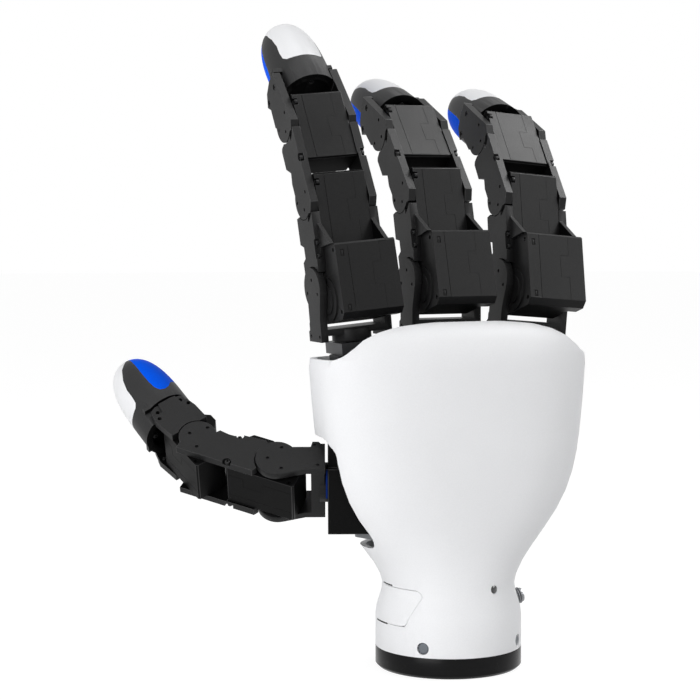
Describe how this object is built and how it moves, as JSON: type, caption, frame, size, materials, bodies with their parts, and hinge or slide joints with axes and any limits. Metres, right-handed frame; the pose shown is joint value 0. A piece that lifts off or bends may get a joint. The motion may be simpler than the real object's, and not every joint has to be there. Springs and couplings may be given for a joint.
{
  "type": "dexterous robot hand",
  "caption": "Right-hand dexterous robot hand: jointed fingers and an opposing thumb of servo cases and fork plates on a white palm with a wrist flange.",
  "frame": {"origin": "centre of the wrist ring on its flat bottom face", "axes": "+Z from the wrist towards the fingertips, -Y out of the back of the hand, +Y out of the gripping side, -X towards the thumb"},
  "size_m": [0.193, 0.1291, 0.2784],
  "materials": {
    "case_black": "satin",
    "frame_black": "anodised",
    "shell_white": "satin",
    "cap_white": "gloss",
    "pad_blue": "satin",
    "tip_black": "satin",
    "ring_black": "gloss",
    "steel": "satin",
    "nickel": "satin",
    "chassis_metal": "satin",
    "board_green": "satin",
    "light_black": "gloss",
    "panel_grey": "satin"
  },
  "bodies": {
    "palm": {"base_ring": "ring_black", "clamp_pins": "steel", "back_shell": "shell_white", "front_shell": "shell_white", "palm_panel": "panel_grey", "wrist_hatch": "shell_white", "status_light": "light_black", "cable_connector": "nickel", "palm_chassis": "chassis_metal", "control_board": "board_green", "index_base_motor": "case_black", "middle_base_motor": "case_black", "ring_base_motor": "case_black"},
    "index_roll_link": {"index_yoke": "frame_black"},
    "index_proximal": {"index_knuckle_case": "case_black", "index_proximal_frame": "frame_black", "index_proximal_case": "case_black"},
    "index_middle": {"index_middle_fork": "frame_black", "index_middle_case": "case_black"},
    "index_distal": {"index_distal_fork": "frame_black", "index_tip_shell": "tip_black", "index_nail_cap": "cap_white", "index_tip_pad": "pad_blue"},
    "middle_roll_link": {"middle_yoke": "frame_black"},
    "middle_proximal": {"middle_knuckle_case": "case_black", "middle_proximal_frame": "frame_black", "middle_proximal_case": "case_black"},
    "middle_middle": {"middle_middle_fork": "frame_black", "middle_middle_case": "case_black"},
    "middle_distal": {"middle_distal_fork": "frame_black", "middle_tip_shell": "tip_black", "middle_nail_cap": "cap_white", "middle_tip_pad": "pad_blue"},
    "ring_roll_link": {"ring_yoke": "frame_black"},
    "ring_proximal": {"ring_knuckle_case": "case_black", "ring_proximal_frame": "frame_black", "ring_proximal_case": "case_black"},
    "ring_middle": {"ring_middle_fork": "frame_black", "ring_middle_case": "case_black"},
    "ring_distal": {"ring_distal_fork": "frame_black", "ring_tip_shell": "tip_black", "ring_nail_cap": "cap_white", "ring_tip_pad": "pad_blue"},
    "thumb_swing": {"thumb_swing_case": "case_black", "thumb_motor_seal": "pad_blue"},
    "thumb_roll_link": {"thumb_yoke": "frame_black"},
    "thumb_middle": {"thumb_lower_case": "case_black", "thumb_middle_fork": "frame_black"},
    "thumb_distal": {"thumb_upper_case": "case_black", "thumb_distal_fork": "frame_black", "thumb_tip_shell": "tip_black", "thumb_nail_cap": "cap_white", "thumb_tip_pad": "pad_blue"}
  },
  "joints": [
    {"name": "index_roll", "type": "hinge", "parent": "palm", "child": "index_roll_link", "pos_m": [-0.0435, 0.0076, 0.16426], "axis": [0.0872, 0, -0.9962], "range_deg": [-16, 16]},
    {"name": "index_knuckle", "type": "hinge", "parent": "index_roll_link", "child": "index_proximal", "pos_m": [-0.0435, 0.0076, 0.16426], "axis": [-0.9962, 0, -0.0872], "range_deg": [-14, 71]},
    {"name": "index_middle_joint", "type": "hinge", "parent": "index_proximal", "child": "index_middle", "pos_m": [-0.04673, 0.01347, 0.20116], "axis": [-0.9962, 0, -0.0872], "range_deg": [-15.6, 64.4]},
    {"name": "index_tip_joint", "type": "hinge", "parent": "index_middle", "child": "index_distal", "pos_m": [-0.04958, 0.02845, 0.23377], "axis": [-0.9962, 0, -0.0872], "range_deg": [-15.9, 14.1]},
    {"name": "middle_roll", "type": "hinge", "parent": "palm", "child": "middle_roll_link", "pos_m": [0, 0.0076, 0.1665], "axis": [0, 0, -1], "range_deg": [-16, 16]},
    {"name": "middle_knuckle", "type": "hinge", "parent": "middle_roll_link", "child": "middle_proximal", "pos_m": [0, 0.0076, 0.1665], "axis": [-1, 0, 0], "range_deg": [-20.5, 64.5]},
    {"name": "middle_middle_joint", "type": "hinge", "parent": "middle_proximal", "child": "middle_middle", "pos_m": [0, 0.01762, 0.20264], "axis": [-1, 0, 0], "range_deg": [-25.3, 54.7]},
    {"name": "middle_tip_joint", "type": "hinge", "parent": "middle_middle", "child": "middle_distal", "pos_m": [0, 0.04115, 0.22989], "axis": [-1, 0, 0], "range_deg": [-25, 5]},
    {"name": "ring_roll", "type": "hinge", "parent": "palm", "child": "ring_roll_link", "pos_m": [0.0435, 0.0076, 0.16426], "axis": [-0.0872, 0, -0.9962], "range_deg": [-16, 16]},
    {"name": "ring_knuckle", "type": "hinge", "parent": "ring_roll_link", "child": "ring_proximal", "pos_m": [0.0435, 0.0076, 0.16426], "axis": [-0.9962, 0, 0.0872], "range_deg": [-21.6, 63.4]},
    {"name": "ring_middle_joint", "type": "hinge", "parent": "ring_proximal", "child": "ring_middle", "pos_m": [0.04663, 0.01831, 0.20006], "axis": [-0.9962, 0, 0.0872], "range_deg": [-24.2, 55.8]},
    {"name": "ring_tip_joint", "type": "hinge", "parent": "ring_middle", "child": "ring_distal", "pos_m": [0.04901, 0.04184, 0.22721], "axis": [-0.9962, 0, 0.0872], "range_deg": [-25.8, 4.2]},
    {"name": "thumb_swing_joint", "type": "hinge", "parent": "palm", "child": "thumb_swing", "pos_m": [-0.03762, 0.00089, 0.081], "axis": [0, 0, -1], "range_deg": [-2, 30]},
    {"name": "thumb_roll", "type": "hinge", "parent": "thumb_swing", "child": "thumb_roll_link", "pos_m": [-0.0729, 0.015, 0.081], "axis": [-0.9285, 0.3714, 0], "range_deg": [-25, 30]},
    {"name": "thumb_knuckle", "type": "hinge", "parent": "thumb_roll_link", "child": "thumb_middle", "pos_m": [-0.0729, 0.015, 0.081], "axis": [0.2542, 0.6356, -0.729], "range_deg": [-21.8, 23.2]},
    {"name": "thumb_tip_joint", "type": "hinge", "parent": "thumb_middle", "child": "thumb_distal", "pos_m": [-0.10032, 0.03646, 0.09015], "axis": [0.2542, 0.6356, -0.729], "range_deg": [-31.3, 18.7]}
  ]
}
